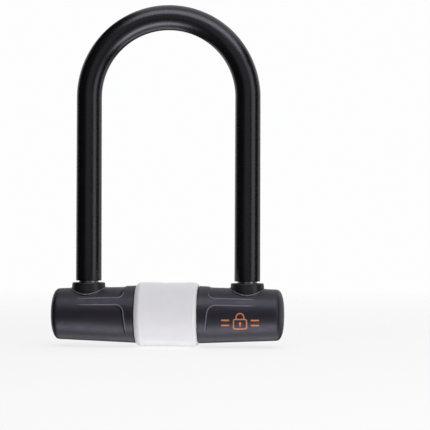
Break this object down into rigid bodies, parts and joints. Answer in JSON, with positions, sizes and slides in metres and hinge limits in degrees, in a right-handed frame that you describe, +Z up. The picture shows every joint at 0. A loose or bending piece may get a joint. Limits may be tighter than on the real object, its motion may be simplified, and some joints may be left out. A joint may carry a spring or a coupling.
{
  "type": "bicycle u-lock",
  "caption": "Bicycle U-lock: coated steel bow whose feet drop into a round crossbar, with a turning dust cover over the keyway and a cam that drives deadbolts into the feet.",
  "frame": {"origin": "middle of the crossbar's axis, where the carrying bracket grips the lock", "axes": "+X along the crossbar to the right, +Z up through the bow, -Y towards the viewer; the keyway faces -Z"},
  "size_m": [0.1666, 0.0458, 0.2441],
  "materials": {
    "bow_vinyl": "satin black vinyl coat",
    "hardened_steel": "bright hardened steel",
    "tube_steel": "plain drawn steel",
    "cover_plastic": "soft-touch charcoal",
    "collar_plastic": "satin black",
    "sleeve_plastic": "satin light grey",
    "barrel_nylon": "dark nylon",
    "seal_rubber": "black rubber",
    "insert_zinc": "bare die-cast zinc",
    "cylinder_brass": "turned brass"
  },
  "bodies": {
    "crossbar": {"crossbar_tube": "tube_steel", "right_cover": "cover_plastic", "left_cover": "cover_plastic", "right_collar": "collar_plastic", "left_collar": "collar_plastic", "right_leg_seal": "seal_rubber", "left_leg_seal": "seal_rubber", "right_bolt_guide": "insert_zinc", "left_bolt_guide": "insert_zinc", "right_foot_socket": "insert_zinc", "left_foot_socket": "insert_zinc", "right_tube_plug": "tube_steel", "left_tube_plug": "tube_steel", "right_plug_pin": "tube_steel", "left_plug_pin": "tube_steel", "bearing_barrel": "barrel_nylon", "right_seal_ring": "seal_rubber", "left_seal_ring": "seal_rubber", "detent_ball": "hardened_steel", "detent_spring": "tube_steel", "cylinder_housing": "cylinder_brass", "cylinder_set_screw": "tube_steel"},
    "shackle": {"shackle_core": "hardened_steel", "shackle_coating": "bow_vinyl"},
    "dust_cover": {"dust_cover": "sleeve_plastic"},
    "key_plug": {"cylinder_rotor": "cylinder_brass", "lock_disc_1": "tube_steel", "lock_disc_2": "tube_steel", "lock_disc_3": "tube_steel", "lock_disc_4": "tube_steel", "lock_disc_5": "tube_steel", "disc_spacer_1": "cylinder_brass", "disc_spacer_2": "cylinder_brass", "disc_spacer_3": "cylinder_brass", "disc_spacer_4": "cylinder_brass", "sidebar": "tube_steel", "bolt_cam": "hardened_steel", "cam_screw_1": "tube_steel", "cam_screw_2": "tube_steel"},
    "right_bolt": {"right_deadbolt": "hardened_steel", "right_drive_pin": "hardened_steel"},
    "left_bolt": {"left_deadbolt": "hardened_steel", "left_drive_pin": "hardened_steel"}
  },
  "joints": [
    {"name": "shackle_slide", "type": "slide", "parent": "crossbar", "child": "shackle", "axis": [0, 0, 1], "range_m": [0, 0.045]},
    {"name": "dust_cover_turn", "type": "hinge", "parent": "crossbar", "child": "dust_cover", "pos_m": [0, 0, 0], "axis": [-1, 0, 0], "range_deg": [0, 90]},
    {"name": "key_turn", "type": "hinge", "parent": "crossbar", "child": "key_plug", "pos_m": [0, 0, 0], "axis": [0, 0, 1], "range_deg": [0, 90.5]},
    {"name": "right_bolt_slide", "type": "slide", "parent": "crossbar", "child": "right_bolt", "axis": [1, 0, 0], "range_m": [0, 0.006]},
    {"name": "left_bolt_slide", "type": "slide", "parent": "crossbar", "child": "left_bolt", "axis": [-1, 0, 0], "range_m": [0, 0.0061]}
  ],
  "couplings": [
    {"joint": "key_turn", "follows": "right_bolt_slide", "rad_per_m": 261.8},
    {"joint": "left_bolt_slide", "follows": "right_bolt_slide", "ratio": 1}
  ]
}
